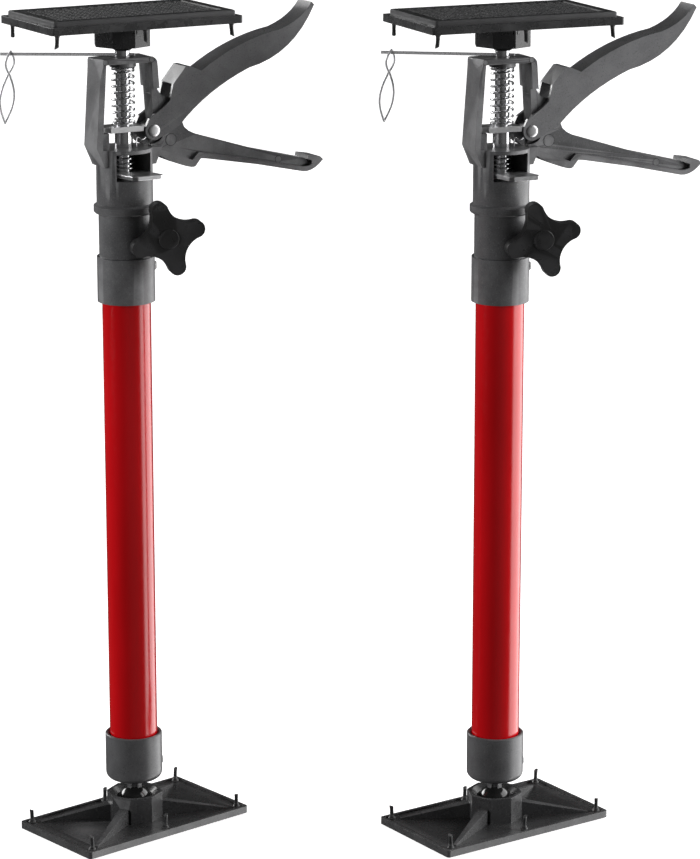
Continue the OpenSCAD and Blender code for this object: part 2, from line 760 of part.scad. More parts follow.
// Return spring: turns round the pivot pin, one leg on the lever and a hooked leg standing on the deck.
module lever_spring() {
    wire_r = 0.45;
    coil_r = 3.6;
    y_near = -5.5;
    y_far = -3.9;
    steps = 36;
    coil = [for (i = [0 : steps])
        let (a = 90 + 810 * i / steps, y = y_far + (y_near - y_far) * i / steps)
        [pivot[0] + coil_r * cos(a), y, pivot[1] + coil_r * sin(a)]];
    // The hooked leg, as X and height over the deck.
    hook = concat([[13.8, 8.4]], bend([13.2, 6.6], [12.4, 4.9], [10.6, 4.9], 3),
        bend([10.6, 4.9], [9, 4.9], [8.6, 5.8], 3), bend([8.6, 5.8], [7.4, 7.4], [6.3, 5.8], 4),
        [[6.2, 4], [6.2, wire_r + 0.1]]);
    color("silver") wire(concat(
        [[pivot[0] + 6.5, y_far, pivot[1] + coil_r + 1], [pivot[0] + 3, y_far, pivot[1] + coil_r + 0.3]],
        coil,
        [for (p = hook) [p[0], y_near, deck_z + p[1]]]), wire_r, [0, 1, 0], 8);
}

// ---------- lock pin and clip ----------

module lock_pin() {
    color("silver") rotate(pin_angle) translate([0, 0, lock_z]) {
        rotate([0, 90, 0]) translate([0, 0, -8]) cylinder(r = lock_r, h = 87, $fn = MID);
    }
}

// Figure-of-eight wire clip that hangs by its small loop.
module r_clip() {
    top = lock_r + clip_r + 0.15;
    drop = 46;
    small = 4.2;
    big = 5.5;
    cross_at = 0.33;
    lean = 0.145;
    function side(s) = s < cross_at ? small * sin(180 * s / cross_at)
        : -big * sin(180 * (s - cross_at) / (1 - cross_at));
    function point(i, n) =
        let (a = 360 * i / n, s = (1 - cos(a)) / 2, dir = a < 180 ? 1 : -1)
        [dir * side(s) + lean * drop * s, dir * 0.9 * sin(180 * s), top - drop * s];
    steps = 44;
    color("silver") rotate(pin_angle) translate([clip_at, 0, lock_z]) rotate(52)
        wire_loop([for (i = [0 : steps - 1]) point(i + 0.5, steps)], clip_r, [0, 1, 0]);
}

// ---------- assembly ----------

for (i = [0 : prop_count - 1]) translate([i * step_x, i * step_y, foot_pad_proud]) rotate(i * step_turn) {
    base_pad();
    base_plate();
    foot_seat();
    foot_ball();
    foot_cap();
    tube_screws();
    outer_tube();
    clamp_collar();
    clamp_stud();
    clamp_nut();
    knob();
    inner_tube();
    tube_guide();
    housing();
    push_rod();
    rod_stop();
    drive_plate();
    drive_spring();
    deck_bush();
    brake_plate();
    brake_spring();
    lever();
    lever_pin();
    lever_spring();
    lock_pin();
    r_clip();
    head_ball();
    head_seat();
    top_plate();
    top_pad();
}
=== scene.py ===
"""Looks for a pair of telescopic support props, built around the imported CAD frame. Metres, +Z up."""

import json
import math
import random

import bmesh
import bpy
from mathutils import Matrix, Vector


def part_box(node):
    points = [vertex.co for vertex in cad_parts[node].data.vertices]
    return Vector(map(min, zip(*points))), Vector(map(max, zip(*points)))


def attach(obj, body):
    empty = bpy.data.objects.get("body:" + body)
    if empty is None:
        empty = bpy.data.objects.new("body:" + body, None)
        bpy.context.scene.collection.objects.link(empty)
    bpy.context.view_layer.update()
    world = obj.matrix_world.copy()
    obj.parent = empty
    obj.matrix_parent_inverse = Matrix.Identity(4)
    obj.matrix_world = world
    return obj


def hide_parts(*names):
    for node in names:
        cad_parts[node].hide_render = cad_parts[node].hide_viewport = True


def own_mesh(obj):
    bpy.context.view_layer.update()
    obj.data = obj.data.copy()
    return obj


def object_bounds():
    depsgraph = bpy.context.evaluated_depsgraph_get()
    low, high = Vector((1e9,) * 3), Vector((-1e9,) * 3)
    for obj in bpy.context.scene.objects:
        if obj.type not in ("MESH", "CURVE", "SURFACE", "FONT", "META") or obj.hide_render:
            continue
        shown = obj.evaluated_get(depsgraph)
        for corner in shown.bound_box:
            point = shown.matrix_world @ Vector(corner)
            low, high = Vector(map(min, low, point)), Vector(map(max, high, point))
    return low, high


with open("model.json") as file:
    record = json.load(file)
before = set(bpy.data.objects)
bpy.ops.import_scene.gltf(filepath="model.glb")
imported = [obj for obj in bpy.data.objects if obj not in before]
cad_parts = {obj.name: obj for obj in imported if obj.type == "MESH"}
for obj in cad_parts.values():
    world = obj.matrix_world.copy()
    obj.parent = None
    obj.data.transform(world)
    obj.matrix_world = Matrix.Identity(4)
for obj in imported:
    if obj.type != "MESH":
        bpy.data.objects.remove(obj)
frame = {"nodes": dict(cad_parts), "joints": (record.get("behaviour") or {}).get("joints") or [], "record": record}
cad_box = [list(corner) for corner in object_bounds()]
NODES = frame["nodes"]
MM = 0.001

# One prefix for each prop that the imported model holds.
PROPS = [p for p in ("", "second_") if p + "housing" in NODES]


# ---------------------------------------------------------------- camera and stage

# Angles in degrees, lengths in metres, sensor and lens in millimetres.
CAMERA_AZIMUTH = -25.96   # direction from which the first prop is seen; 0 is straight across the handles
CAMERA_PAN = 3.876        # turn to the right that takes in the second prop
CAMERA_PITCH = 14.13      # below the horizon
CAMERA_DISTANCE = 2.166   # level distance to the first prop's tube
CAMERA_HEIGHT = 0.8193
SENSOR = 36.0
LENS = 141.19


def prop_frame(prefix):
    """Matrix from a prop's own frame, on the floor under its tube with +X along the handles, to the row frame."""
    joints = {j["name"]: j for j in frame["joints"]}
    lever_axis = joints[prefix + "lever_squeeze"]["axis"]
    foot = joints[prefix + "base_swivel"]["pos_m"]
    yaw = math.atan2(-lever_axis[0], lever_axis[1])
    return Matrix.Translation((foot[0], foot[1], 0)) @ Matrix.Rotation(yaw, 4, "Z")


def add_camera():
    data = bpy.data.cameras.new("camera")
    data.lens = LENS
    data.sensor_width = SENSOR
    data.clip_end = 50
    camera = bpy.data.objects.new("camera", data)
    bpy.context.scene.collection.objects.link(camera)
    origin = prop_frame("").translation
    a = math.radians(CAMERA_AZIMUTH)
    camera.location = origin + Vector((math.sin(a), -math.cos(a), 0)) * CAMERA_DISTANCE
    camera.location.z = CAMERA_HEIGHT
    a = math.radians(CAMERA_AZIMUTH - CAMERA_PAN)
    e = math.radians(CAMERA_PITCH)
    ahead = Vector((-math.sin(a) * math.cos(e), math.cos(a) * math.cos(e), -math.sin(e)))
    camera.rotation_mode = "QUATERNION"
    camera.rotation_quaternion = ahead.to_track_quat("-Z", "Y")
    bpy.context.scene.camera = camera


class Graph:
    """Short way to write node trees."""

    def __init__(self, tree):
        self.tree = tree

    def add(self, kind, values=(), **settings):
        node = self.tree.nodes.new(kind)
        for key, value in settings.items():
            setattr(node, key, value)
        for socket, value in dict(values).items():
            if isinstance(value, bpy.types.NodeSocket):
                self.tree.links.new(value, node.inputs[socket])
            else:
                node.inputs[socket].default_value = value
        return node

    def math(self, operation, a, b=0.0, clamp=False):
        node = self.add("ShaderNodeMath", {0: a, 1: b}, operation=operation, use_clamp=clamp)
        return node.outputs[0]

    def ramp(self, value, low, high, out_low=0.0, out_high=1.0):
        node = self.add("ShaderNodeMapRange", {
            "Value": value, "From Min": low, "From Max": high, "To Min": out_low, "To Max": out_high})
        node.interpolation_type = "SMOOTHSTEP"
        return node.outputs[0]

    def mix(self, factor, a, b):
        node = self.add("ShaderNodeMix", data_type="RGBA")
        for socket, value in ((0, factor), (6, a), (7, b)):
            if isinstance(value, bpy.types.NodeSocket):
                self.tree.links.new(value, node.inputs[socket])
            else:
                node.inputs[socket].default_value = value
        return node.outputs[2]


# Softboxes of the studio, as (middle, half width, soft edge, strength, low edge, high edge). The first three are
# headings in degrees, counted anticlockwise from the camera as seen from above, so that positive ones lie to its
# right; the last two are sines of the height over the horizon.
RIGHT_BOX = (101, 36, 6, 3.4, -0.9, 0.7)
LEFT_BOX = (-129, 15, 4, 10.0, 0.1, 0.42)
FRONT_FILL = (24, 30, 26, 0.06, -0.9, 0.7)
AMBIENT = 0.04
OVERHEAD = 0.06           # strength straight above
OVERHEAD_EDGE = (0.8, 0.97)
BOX_FADE = (0.04, 0.08)   # softness of a box's low and high edge
BACKDROP = 1.05           # what the camera sees behind the props


def add_world():
    """White backdrop with soft light from tall boxes at both sides, a dim front and a dim ceiling."""
    world = bpy.data.worlds.new("studio")
    bpy.context.scene.world = world
    world.use_nodes = True
    g = Graph(world.node_tree)
    world.node_tree.nodes.clear()
    direction = g.add("ShaderNodeTexCoord").outputs["Generated"]
    parts = g.add("ShaderNodeSeparateXYZ", {0: direction}).outputs
    heading = g.math("ARCTAN2", parts["Y"], parts["X"])
    total = None
    camera_heading = math.radians(CAMERA_AZIMUTH - 90)
    for middle, half, edge, strength, bottom, top in (RIGHT_BOX, LEFT_BOX, FRONT_FILL):
        turned = g.math("SUBTRACT", heading, camera_heading + math.radians(middle))
        away = g.math("ARCCOSINE", g.math("COSINE", turned))
        lit = g.ramp(away, math.radians(half - edge), math.radians(half + edge), strength, 0.0)
        lit = g.math("MULTIPLY", lit, g.ramp(parts["Z"], bottom - BOX_FADE[0], bottom + BOX_FADE[0]))
        lit = g.math("MULTIPLY", lit, g.ramp(parts["Z"], top - BOX_FADE[1], top + BOX_FADE[1], 1.0, 0.0))
        total = lit if total is None else g.math("ADD", total, lit)
    overhead = g.ramp(parts["Z"], *OVERHEAD_EDGE, 0.0, OVERHEAD)
    total = g.math("ADD", g.math("ADD", total, overhead), AMBIENT)
    studio = g.add("ShaderNodeBackground", {"Color": (1, 1, 1, 1), "Strength": total})
    backdrop = g.add("ShaderNodeBackground", {"Color": (1, 1, 1, 1), "Strength": BACKDROP})
    seen = g.add("ShaderNodeLightPath").outputs["Is Camera Ray"]
    mix = g.add("ShaderNodeMixShader", {0: seen, 1: studio.outputs[0], 2: backdrop.outputs[0]})
    g.add("ShaderNodeOutputWorld", {0: mix.outputs[0]})


def add_light(name, azimuth, height, distance, size, power):
    """Area light that faces the props' middle; azimuth is in degrees to the right of the camera."""
    data = bpy.data.lights.new(name, "AREA")
    data.shape = "RECTANGLE"
    data.size, data.size_y = size
    data.energy = power
    light = bpy.data.objects.new(name, data)
    bpy.context.scene.collection.objects.link(light)
    low, high = cad_box
    middle = (Vector(low) + Vector(high)) / 2
    a = math.radians(CAMERA_AZIMUTH - 90 + azimuth)
    light.location = middle + Vector((math.cos(a), math.sin(a), 0)) * distance
    light.location.z = height
    light.rotation_mode = "QUATERNION"
    light.rotation_quaternion = (middle - light.location).to_track_quat("-Z", "Y")
    light.visible_camera = False
    light.visible_glossy = False


def add_floor():
    """White floor that only the camera sees."""
    bpy.ops.mesh.primitive_plane_add(size=60)
    floor = bpy.context.object
    floor.name = "floor"
    floor.visible_glossy = False
    floor.visible_diffuse = False
    material = bpy.data.materials.new("floor_white")
    material.use_nodes = True
    shader = material.node_tree.nodes["Principled BSDF"]
    shader.inputs["Base Color"].default_value = (0.86, 0.86, 0.86, 1)
    shader.inputs["Roughness"].default_value = 0.9
    shader.inputs["Emission Color"].default_value = (1, 1, 1, 1)
    shader.inputs["Emission Strength"].default_value = 0.8
    floor.data.materials.append(material)


# ---------------------------------------------------------------- materials

def start_material(name):
    """New material with its graph and its shader."""
    material = bpy.data.materials.new(name)
    material.use_nodes = True
    g = Graph(material.node_tree)
    return material, g, material.node_tree.nodes["Principled BSDF"]


def noise(g, scale, detail=3.0, rough=0.55, stretch=(1, 1, 1)):
    """Noise between 0 and 1 in object space; scale is in features per metre."""
    place = g.add("ShaderNodeTexCoord").outputs["Object"]
    mapped = g.add("ShaderNodeMapping", {"Vector": place, "Scale": stretch}).outputs[0]
    return g.add("ShaderNodeTexNoise", {
        "Vector": mapped, "Scale": scale, "Detail": detail, "Roughness": rough}).outputs["Fac"]


def edges(g, low=0.51, high=0.57):
    """1 on convex edges, 0 elsewhere; with low over high it is 1 in the hollows."""
    return g.ramp(g.add("ShaderNodeNewGeometry").outputs["Pointiness"], low, high)


def bump(g, shader, layers):
    """Stacks bump layers given as (height, strength, distance)."""
    normal = None
    for height, strength, distance in layers:
        values = {"Height": height, "Strength": strength, "Distance": distance}
        if normal is not None:
            values["Normal"] = normal
        normal = g.add("ShaderNodeBump", values).outputs[0]
    g.tree.links.new(normal, shader.inputs["Normal"])


def plastic(name, dark, light, rough, grain, wear_and_edge_highlight):
    """Moulded glass-filled plastic: mottled black, fine spark-eroded grain, paler edges that are partly rubbed wear
    and partly painted highlight, and painted shade in the hollows.
    """
    material, g, shader = start_material(name)
    cloud = noise(g, 55, 4, 0.6)
    speck = noise(g, 1100, 3, 0.7)
    base = g.mix(g.ramp(cloud, 0.2, 0.8), dark, light)
    base = g.mix(g.ramp(speck, 0.56, 0.76, 0, 0.45), base, wear_and_edge_highlight)
    base = g.mix(g.ramp(speck, 0.44, 0.3, 0, 0.5), base, (0.008, 0.008, 0.008, 1))
    # Convex edges are lightened: partly rubbed wear, partly a painted edge highlight.
    base = g.mix(g.math("MULTIPLY", edges(g), g.ramp(cloud, 0.3, 0.7, 0.2, 0.5)), base, wear_and_edge_highlight)
    # Painted shade: hollows and creases are darkened towards near-black.
    base = g.mix(g.math("MULTIPLY", edges(g, 0.49, 0.43), 0.8), base, (0.006, 0.006, 0.006, 1))
    g.tree.links.new(base, shader.inputs["Base Color"])
    g.tree.links.new(g.ramp(noise(g, 140, 3), 0.3, 0.7, rough[0], rough[1]), shader.inputs["Roughness"])
    bump(g, shader, [(speck, grain, 0.00012), (noise(g, 520, 2), grain * 0.8, 0.0002),
                     (cloud, 0.06, 0.0008)])
    shader.inputs["Specular IOR Level"].default_value = 0.5
    return material


def rubber_material():
    """Dusty black rubber with paler edges."""
    material, g, shader = start_material("rubber")
    cloud = noise(g, 90, 4)
    base = g.mix(g.ramp(cloud, 0.3, 0.7), (0.008, 0.008, 0.008, 1), (0.017, 0.017, 0.0175, 1))
    dust = g.ramp(noise(g, 900, 3, 0.7), 0.6, 0.78, 0, 0.4)
    base = g.mix(dust, base, (0.06, 0.06, 0.06, 1))
    base = g.mix(g.math("MULTIPLY", edges(g), 0.5), base, (0.1, 0.1, 0.102, 1))
    g.tree.links.new(base, shader.inputs["Base Color"])
    g.tree.links.new(g.ramp(cloud, 0.3, 0.7, 0.34, 0.52), shader.inputs["Roughness"])
    bump(g, shader, [(noise(g, 1500, 2, 0.6), 0.2, 0.0001), (cloud, 0.08, 0.0006)])
    shader.inputs["Specular IOR Level"].default_value = 0.32
    return material


def enamel_material():
    """Glossy red powder coat: slight orange peel under a clear skin, darker rubbed streaks along its length."""
    material, g, shader = start_material("red_enamel")
    cloud = noise(g, 30, 3, stretch=(1, 1, 0.25))
    base = g.mix(g.ramp(cloud, 0.3, 0.7), (0.4, 0.0012, 0.003, 1), (0.48, 0.002, 0.005, 1))
    scuff = g.ramp(noise(g, 260, 5, 0.7, (1, 1, 0.12)), 0.66, 0.78, 0, 0.25)
    base = g.mix(scuff, base, (0.34, 0.002, 0.004, 1))
    g.tree.links.new(base, shader.inputs["Base Color"])
    g.tree.links.new(g.ramp(noise(g, 120, 3), 0.3, 0.7, 0.16, 0.24), shader.inputs["Roughness"])
    shader.inputs["Specular IOR Level"].default_value = 0.5
    shader.inputs["Coat Weight"].default_value = 0.3
    shader.inputs["Coat Roughness"].default_value = 0.06
    bump(g, shader, [(noise(g, 420, 2), 0.035, 0.0003), (noise(g, 60, 2), 0.04, 0.0006)])
    return material


def steel(name, colour, rough, brushed, grain, dull=(0.42, 0.42, 0.43, 1), metal=1.0):
    """Plated steel with faint drawing marks and duller patches."""
    material, g, shader = start_material(name)
    cloud = noise(g, 160, 4)
    marks = noise(g, 1600, 2, 0.6, brushed)
    base = g.mix(g.ramp(cloud, 0.5, 0.8, 0, 0.45), colour, dull)
    base = g.mix(g.math("MULTIPLY", edges(g), 0.5), base, (0.9, 0.9, 0.9, 1))
    g.tree.links.new(base, shader.inputs["Base Color"])
    g.tree.links.new(g.ramp(marks, 0.3, 0.7, rough[0], rough[1]), shader.inputs["Roughness"])
    shader.inputs["Metallic"].default_value = metal
    bump(g, shader, [(marks, grain, 0.00008), (cloud, 0.05, 0.0003)])
    return material


def grey(value, blue=None):
    """Neutral colour, with a slightly different blue where it is given."""
    return (value, value, value if blue is None else blue, 1)


MATERIALS = {
    "rubber": rubber_material(),
    "black_plastic": plastic(
        "black_plastic", grey(0.062, 0.064), grey(0.096, 0.099), (0.34, 0.46), 0.1, grey(0.27, 0.275)),
    "black_smooth": plastic(
        "black_smooth", grey(0.11, 0.113), grey(0.15, 0.154), (0.2, 0.26), 0.05, grey(0.24, 0.245)),
    "plate_plastic": plastic(
        "plate_plastic", grey(0.028, 0.029), grey(0.042, 0.043), (0.22, 0.34), 0.12, grey(0.2, 0.204)),
    "top_plastic": plastic(
        "top_plastic", grey(0.012, 0.0125), grey(0.02, 0.0205), (0.24, 0.36), 0.1, grey(0.13, 0.132)),
    "knob_plastic": plastic(
        "knob_plastic", grey(0.012), grey(0.018), (0.26, 0.36), 0.05, grey(0.06, 0.062)),
    "cap_plastic": plastic(
        "cap_plastic", grey(0.06, 0.062), grey(0.09, 0.093), (0.3, 0.4), 0.05, grey(0.2, 0.205)),
    "black_gloss": plastic("black_gloss", grey(0.008), grey(0.014), (0.08, 0.14), 0.015, grey(0.03)),
    "nylon": plastic("nylon", grey(0.03), grey(0.045), (0.4, 0.55), 0.08, grey(0.16, 0.165)),
    "red_enamel": enamel_material(),
    "bright_steel": steel("bright_steel", grey(0.86, 0.88), (0.08, 0.16), (1, 1, 0.08), 0.03),
    "zinc_steel": steel("zinc_steel", grey(0.78, 0.79), (0.3, 0.42), (1, 0.15, 1), 0.1),
    "spring_steel": steel("spring_steel", grey(0.88, 0.9), (0.2, 0.3), (1, 1, 1), 0.05),
    "wire_steel": steel("wire_steel", grey(0.9, 0.92), (0.25, 0.35), (1, 1, 1), 0.05, grey(0.6, 0.61), 0.45),
    "dark_steel": steel("dark_steel", grey(0.09), (0.3, 0.45), (1, 1, 1), 0.1, grey(0.05)),
}

# Parts whose finish differs from their material slot.
FINISH = {
    "lever": "black_smooth", "knob": "knob_plastic", "foot_cap": "cap_plastic", "base_plate": "plate_plastic",
    "top_plate": "top_plastic", "foot_ball": "black_gloss", "lock_pin": "wire_steel",
}


# ---------------------------------------------------------------- mesh tools

def shade(obj, angle):
    """Smooth shading that keeps edges sharper than the angle."""
    mesh = obj.data
    mesh.polygons.foreach_set("use_smooth", [True] * len(mesh.polygons))
    b = bmesh.new()
    b.from_mesh(mesh)
    limit = math.radians(angle)
    for edge in b.edges:
        edge.smooth = len(edge.link_faces) == 2 and edge.calc_face_angle(0.0) < limit
    b.to_mesh(mesh)
    b.free()


def piece(name, b, prefix, body, slot, node=None, finish=None, sharp=35):
    """Turns a bmesh in a prop's own frame into a piece that rides on a body and may replace a CAD node."""
    mesh = bpy.data.meshes.new(prefix + name)
    bmesh.ops.recalc_face_normals(b, faces=b.faces)
    b.to_mesh(mesh)
    b.free()
    mesh.transform(prop_frame(prefix))
    obj = bpy.data.objects.new(prefix + name, mesh)
    bpy.context.scene.collection.objects.link(obj)
    shade(obj, sharp)
    mesh.materials.append(MATERIALS[finish or slot])
    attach(obj, prefix + body)
    if node:
        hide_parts(prefix + node)
    return obj


def tube(b, points, radius, sides, closed=False):
    """Round wire along points, with rings carried along without twisting."""
    count = len(points)
    rings = []
    side = None
    for i, p in enumerate(points):
        before = points[i - 1] if i or closed else p
        after = points[(i + 1) % count] if i < count - 1 or closed else p
        along = (after - before).normalized()
        if side is None:
            side = along.orthogonal().normalized()
        side = (side - along * side.dot(along)).normalized()
        up = along.cross(side)
        rings.append([b.verts.new(p + (side * math.cos(t) + up * math.sin(t)) * radius)
                      for t in (2 * math.pi * k / sides for k in range(sides))])
    pairs = list(zip(rings, rings[1:]))
    if closed:
        # The last ring meets the first one at the corner that lies closest to it.
        first, last = rings[0], rings[-1]
        shift = min(range(sides), key=lambda s: (first[s].co - last[0].co).length)
        pairs.append((last, first[shift:] + first[:shift]))
    for low, high in pairs:
        for k in range(sides):
            b.faces.new((low[k], low[(k + 1) % sides], high[(k + 1) % sides], high[k]))
    if not closed:
        b.faces.new(rings[0][::-1])
        b.faces.new(rings[-1])


def lathe(b, profile, place, sides):
    """Solid of revolution from (radius, height) points, which start and end on the axis."""
    rings = []
    for r, z in profile:
        if r < 1e-7:
            rings.append([b.verts.new(place @ Vector((0, 0, z)))])
        else:
            rings.append([b.verts.new(place @ Vector((r * math.cos(t), r * math.sin(t), z)))
                          for t in (2 * math.pi * k / sides for k in range(sides))])
    for low, high in zip(rings, rings[1:]):
        for k in range(sides):
            n = (k + 1) % sides
            if len(low) == 1:
                b.faces.new((low[0], high[n], high[k]))
            elif len(high) == 1:
                b.faces.new((low[k], low[n], high[0]))
            else:
                b.faces.new((low[k], low[n], high[n], high[k]))


def rounded_rectangle(width, depth, radius, steps=5):
    """Points round a rectangle with rounded corners, centred on the origin."""
    points = []
    for quarter, (sx, sy) in enumerate(((1, 1), (-1, 1), (-1, -1), (1, -1))):
        for i in range(steps + 1):
            a = math.pi / 2 * (quarter + i / steps)
            points.append((sx * (width / 2 - radius) + radius * math.cos(a),
                           sy * (depth / 2 - radius) + radius * math.sin(a)))
    return points


def stack(b, layers, place):
    """Solid made of rounded rectangles, given as (width, depth, corner radius, height)."""
    rings = [[b.verts.new(place @ Vector((x, y, z))) for x, y in rounded_rectangle(w, d, r)]
             for w, d, r, z in layers]
    count = len(rings[0])
    for low, high in zip(rings, rings[1:]):
        for k in range(count):
            b.faces.new((low[k], low[(k + 1) % count], high[(k + 1) % count], high[k]))
    b.faces.new(rings[0][::-1])
    b.faces.new(rings[-1])


# ---------------------------------------------------------------- rubber pads

# All in metres, in the pad's own frame: Z is 0 at the rim of the plate, and the worn face lies below it.
PAD_W, PAD_D = 0.1282, 0.0718
CORNER = 0.002                     # radius of the slab's corners
PEG_X, PEG_Y = 0.0615, 0.0338      # places of the tails
BORDER = 0.0075                    # width of the beaded border round the blocks
BEAD = 0.0004                      # depth of the grooves between the beads of the border
BUMP_X, BUMP_Y = 0.0062, 0.0046    # pitch of the small blocks
BUMP_DEPTH = 0.0009
BUMP_BASE, BUMP_TOP = (0.0044, 0.0036), (0.0022, 0.0026)
SINK = 0.00005                     # how deep a block stands in the slab
POCKET = 0.0016                    # depth of the plate's pocket, where the slab ends
FOOT_PROUD, TOP_PROUD = 0.001, 0.0034   # how far each pad stands out past its rim
TAIL_RINGS = 8


def tail(b, place, sway):
    """Pull-through tail: neck, holding bulb, then a stem that leans, flares and is cut off at a slant."""
    profile = [(0, 0), (1.5, 0.05), (1.5, 3.7), (2.4, 4.05), (2.4, 4.7), (2.0, 5.3), (1.6, 5.9)]
    lathe(b, [(r * MM, z * MM) for r, z in profile + [(1.4, 6.4), (0, 6.4)]], place, 20)
    sides = 16
    rings = []
    last = TAIL_RINGS - 1
    for i in range(TAIL_RINGS):
        z = 6.2 + i
        lean = sway * (i / last) ** 1.6 * 0.9 * MM
        ring = []
        for k in range(sides):
            a = 2 * math.pi * k / sides
            slant = 0.7 * math.cos(a) if i == last else 0
            girth = (1.3 + 0.18 * (2 * i / last - 1) ** 2) * MM
            ring.append(b.verts.new(place @ Vector((
                girth * math.cos(a) + lean, 0.92 * girth * math.sin(a), (z + slant) * MM))))
        rings.append(ring)
    for low, high in zip(rings, rings[1:]):
        for k in range(sides):
            b.faces.new((low[k], low[(k + 1) % sides], high[(k + 1) % sides], high[k]))
    b.faces.new(rings[0][::-1])
    b.faces.new(rings[-1])


def block(b, place, x, y, base, top, z0, z1):
    """Small truncated pyramid, base and top as (width, depth)."""
    rings = [[b.verts.new(place @ Vector((x + sx * size[0] / 2, y + sy * size[1] / 2, z)))
              for sx, sy in ((-1, -1), (1, -1), (1, 1), (-1, 1))] for size, z in ((base, z0), (top, z1))]
    for k in range(4):
        b.faces.new((rings[0][k], rings[0][(k + 1) % 4], rings[1][(k + 1) % 4], rings[1][k]))
    b.faces.new(rings[1])
    b.faces.new(rings[0][::-1])


def pad(prefix, name, body, node, proud, place):
    """Rubber pad: slab with a double-beaded border, a field of small blocks and six tails."""
    b = bmesh.new()
    face = -proud
    shrink = [0, 0.0007, 0.0022, 0.0027, 0.0032, 0.0047, 0.0052, 0.0057, 0.0069, BORDER]
    depth = [0.0007, 0, 0, BEAD, 0, 0, BEAD, 0, 0, BUMP_DEPTH]
    layers = [(PAD_W, PAD_D, CORNER, POCKET)]
    layers += [(PAD_W - 2 * s, PAD_D - 2 * s, max(CORNER - s, 0.0004), face + d) for s, d in zip(shrink, depth)]
    stack(b, layers, place)
    columns = int((PAD_W - 2 * BORDER) / BUMP_X)
    rows = int((PAD_D - 2 * BORDER) / BUMP_Y)
    for i in range(columns):
        for j in range(rows):
            x = (i - (columns - 1) / 2) * BUMP_X
            y = (j - (rows - 1) / 2) * BUMP_Y
            block(b, place, x, y, BUMP_BASE, BUMP_TOP, face + BUMP_DEPTH + SINK, face)
    rng = random.Random(7)
    for sx, sy in ((-1, -1), (1, -1), (-1, 1), (1, 1), (0, -1), (0, 1)):
        turn = Matrix.Translation((sx * PEG_X, sy * PEG_Y, 0)) @ Matrix.Rotation(rng.uniform(0, 6.28), 4, "Z")
        tail(b, place @ turn, rng.uniform(0.3, 1.0))
    piece(name, b, prefix, body, "rubber", node, sharp=28)


# ---------------------------------------------------------------- wires, rivet, marks

COIL_STEPS = 40   # points in one turn


def coil(prefix, name, node, wire, turns):
    """Compression spring with closed end turns, in the place of its CAD node."""
    low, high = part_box(prefix + node)
    radius = ((high.y - low.y) / 2 + (high.x - low.x) / 2) / 2 - wire
    z0, z1 = low.z + wire, high.z - wire
    closed = 2 * wire + 0.0001
    points = []
    for i in range(int((turns + 2) * COIL_STEPS) + 1):
        n = i / COIL_STEPS
        if n < 1:
            z = z0 + closed * n
        elif n > turns + 1:
            z = z1 - closed * (turns + 2 - n)
        else:
            z = z0 + closed + (z1 - z0 - 2 * closed) * (n - 1) / turns
        points.append(Vector((radius * math.cos(2 * math.pi * n), radius * math.sin(2 * math.pi * n), z)))
    b = bmesh.new()
    tube(b, points, wire, 10)
    return piece(name, b, prefix, "head", "spring_steel", node)


def smooth_path(points, steps=6):
    """Catmull-Rom curve through points."""
    out = []
    for i in range(len(points) - 1):
        p0, p1, p2, p3 = (points[max(i - 1, 0)], points[i], points[i + 1], points[min(i + 2, len(points) - 1)])
        for s in range(steps):
            t = s / steps
            out.append(0.5 * ((2 * p1) + (p2 - p0) * t + (2 * p0 - 5 * p1 + 4 * p2 - p3) * t * t
                              + (3 * p1 - p0 - 3 * p2 + p3) * t ** 3))
    return out + [points[-1]]


# Pivot of the lever, as X and height in the prop's own frame, and the deck under it, in mm.
PIVOT = (17.6, 474.6)
DECK = 464.0


def return_spring(prefix):
    """Torsion spring round the rivet, with one leg on the lever and a hooked leg on the deck."""
    wire, radius, near, far = 0.45, 3.6, -5.5, -3.9
    steps = 72
    turns = []
    for i in range(steps + 1):
        a = math.radians(90 + 810 * i / steps)
        turns.append(Vector((PIVOT[0] + radius * math.cos(a), far + (near - far) * i / steps,
                             PIVOT[1] + radius * math.sin(a))))
    leg = [Vector((PIVOT[0] + 6.5, far, PIVOT[1] + radius + 1)),
           Vector((PIVOT[0] + 3, far, PIVOT[1] + radius + 0.3))]
    hook = [(13.8, 8.4), (13.2, 6.9), (12.2, 5.6), (10.6, 4.9), (9.3, 5.1), (8.5, 6), (7.4, 6.6), (6.5, 5.8),
            (6.2, 4), (6.2, wire + 0.1)]
    hook = [Vector((x, near, DECK + z)) for x, z in hook]
    path = smooth_path(leg + turns[:1])[:-1] + turns + smooth_path([turns[-1]] + hook)[1:]
    b = bmesh.new()
    tube(b, [p * MM for p in path], wire * MM, 10)
    piece("return_spring", b, prefix, "head", "spring_steel", "lever_spring")


PIN_ANGLE = 148.6   # heading of the lock pin in the prop's own frame
CLIP_AT = 0.072     # where the clip hangs on it
LOCK_Z = 0.5241
CLIP_TURN = 52      # from the pin to the clip's own plane


def pin_place(prefix):
    """Frame of the clip: its origin on the lock pin, X in the clip's own plane."""
    return (Matrix.Rotation(math.radians(PIN_ANGLE), 4, "Z") @ Matrix.Translation((CLIP_AT, 0, LOCK_Z))
            @ Matrix.Rotation(math.radians(CLIP_TURN), 4, "Z"))


def wire_clip(prefix):
    """Figure-of-eight wire clip that hangs from the lock pin by its small loop."""
    top, drop, small, big, cross_at, lean, wire = 1.9, 46, 4.2, 5.5, 0.33, 0.145, 0.75
    count = 120
    points = []
    for i in range(count):
        a = 2 * math.pi * (i + 0.5) / count
        s = (1 - math.cos(a)) / 2
        side = small * math.sin(math.pi * s / cross_at) if s < cross_at else \
            -big * math.sin(math.pi * (s - cross_at) / (1 - cross_at))
        way = 1 if a < math.pi else -1
        points.append(Vector((way * side + lean * drop * s, way * 0.9 * math.sin(math.pi * s), top - drop * s)) * MM)
    b = bmesh.new()
    tube(b, points, wire * MM, 12, True)
    bmesh.ops.transform(b, matrix=pin_place(prefix), verts=b.verts)
    piece("wire_clip", b, prefix, "clip", "spring_steel", "r_clip", finish="wire_steel")


